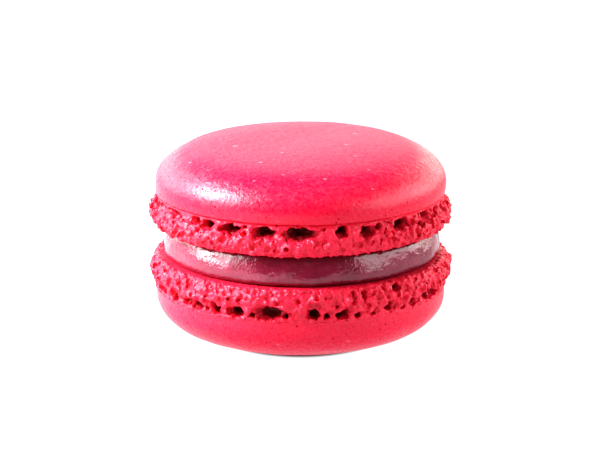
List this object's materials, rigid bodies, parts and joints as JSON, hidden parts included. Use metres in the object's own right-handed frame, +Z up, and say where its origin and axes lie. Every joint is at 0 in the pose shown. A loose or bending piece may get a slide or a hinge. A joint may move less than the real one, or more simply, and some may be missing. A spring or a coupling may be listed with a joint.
{
  "type": "french macaron",
  "caption": "Round sandwich biscuit: smooth domed almond meringue shells with ruffled, bubbly feet hold a thick disc of glossy ganache. A sweet for a plate, a box or a tower.",
  "frame": {"origin": "centre of the flat spot under the lower shell, on the surface that the macaron rests on", "axes": "+Z up through both shells, which is the short way through it; -Y is the side seen from the front, +X its right"},
  "size_m": [0.0451, 0.0452, 0.0305],
  "materials": {
    "meringue": "pinkish red baked almond meringue, satin skin and matt porous foot",
    "ganache": "dark reddish purple ganache, glossy and slightly uneven"
  },
  "bodies": {
    "root": {"lower_shell": "meringue", "ganache": "ganache", "upper_shell": "meringue"}
  },
  "joints": []
}
